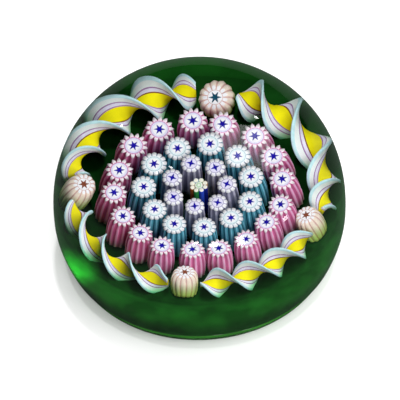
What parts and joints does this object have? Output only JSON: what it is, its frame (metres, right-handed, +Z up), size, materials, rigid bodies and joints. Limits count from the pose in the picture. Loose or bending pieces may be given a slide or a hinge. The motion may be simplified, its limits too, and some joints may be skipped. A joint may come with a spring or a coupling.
{
  "type": "paperweight",
  "caption": "Round glass paperweight: clear crystal dome over a green ground, with rings of patterned canes and a border of twisted tapes sealed inside.",
  "frame": {"origin": "centre of the flat ring that it rests on", "axes": "+Z up, out of the top of the dome; -Y faces the front"},
  "size_m": [0.072, 0.072, 0.0488],
  "materials": {
    "crystal": "polished clear crystal",
    "green_glass": "polished translucent emerald green glass",
    "core_glass": "pale green and white opal glass",
    "lavender_cane_glass": "opal glass cane, lavender and white with a blue cross",
    "teal_cane_glass": "opal glass cane, teal and white with a blue star",
    "pink_cane_glass": "opal glass cane, pink and white with a blue star",
    "beige_cane_glass": "opal glass cane, beige and white with a dark star",
    "tape_glass": "opal glass tape, white with a yellow band and purple lines",
    "brown_rod_glass": "opal glass rod",
    "green_rod_glass": "opal glass rod",
    "blue_rod_glass": "opal glass rod",
    "navy_rod_glass": "opal glass rod",
    "tan_rod_glass": "opal glass rod",
    "mint_rod_glass": "opal glass rod",
    "sky_rod_glass": "opal glass rod",
    "ivory_rod_glass": "opal glass rod"
  },
  "bodies": {
    "root": {"crystal_dome": "crystal", "green_ground": "green_glass", "centre_core": "core_glass", "centre_rod_1": "brown_rod_glass", "centre_rod_2": "green_rod_glass", "centre_rod_3": "blue_rod_glass", "centre_rod_4": "navy_rod_glass", "centre_rod_5": "tan_rod_glass", "centre_rod_6": "mint_rod_glass", "centre_rod_7": "sky_rod_glass", "centre_rod_8": "ivory_rod_glass", "inner_cane_1": "lavender_cane_glass", "inner_cane_2": "lavender_cane_glass", "inner_cane_3": "lavender_cane_glass", "inner_cane_4": "lavender_cane_glass", "inner_cane_5": "lavender_cane_glass", "inner_cane_6": "lavender_cane_glass", "inner_cane_7": "lavender_cane_glass", "middle_cane_1": "teal_cane_glass", "middle_cane_2": "teal_cane_glass", "middle_cane_3": "teal_cane_glass", "middle_cane_4": "teal_cane_glass", "middle_cane_5": "teal_cane_glass", "middle_cane_6": "teal_cane_glass", "middle_cane_7": "teal_cane_glass", "middle_cane_8": "teal_cane_glass", "middle_cane_9": "teal_cane_glass", "middle_cane_10": "teal_cane_glass", "middle_cane_11": "teal_cane_glass", "outer_cane_1": "pink_cane_glass", "outer_cane_2": "pink_cane_glass", "outer_cane_3": "pink_cane_glass", "outer_cane_4": "pink_cane_glass", "outer_cane_5": "pink_cane_glass", "outer_cane_6": "pink_cane_glass", "outer_cane_7": "pink_cane_glass", "outer_cane_8": "pink_cane_glass", "outer_cane_9": "pink_cane_glass", "outer_cane_10": "pink_cane_glass", "outer_cane_11": "pink_cane_glass", "outer_cane_12": "pink_cane_glass", "outer_cane_13": "pink_cane_glass", "outer_cane_14": "pink_cane_glass", "outer_cane_15": "pink_cane_glass", "outer_cane_16": "pink_cane_glass", "outer_cane_17": "pink_cane_glass", "border_cane_1": "beige_cane_glass", "border_cane_2": "beige_cane_glass", "border_cane_3": "beige_cane_glass", "border_cane_4": "beige_cane_glass", "twisted_tape_1": "tape_glass", "twisted_tape_2": "tape_glass", "twisted_tape_3": "tape_glass", "twisted_tape_4": "tape_glass"}
  },
  "joints": []
}
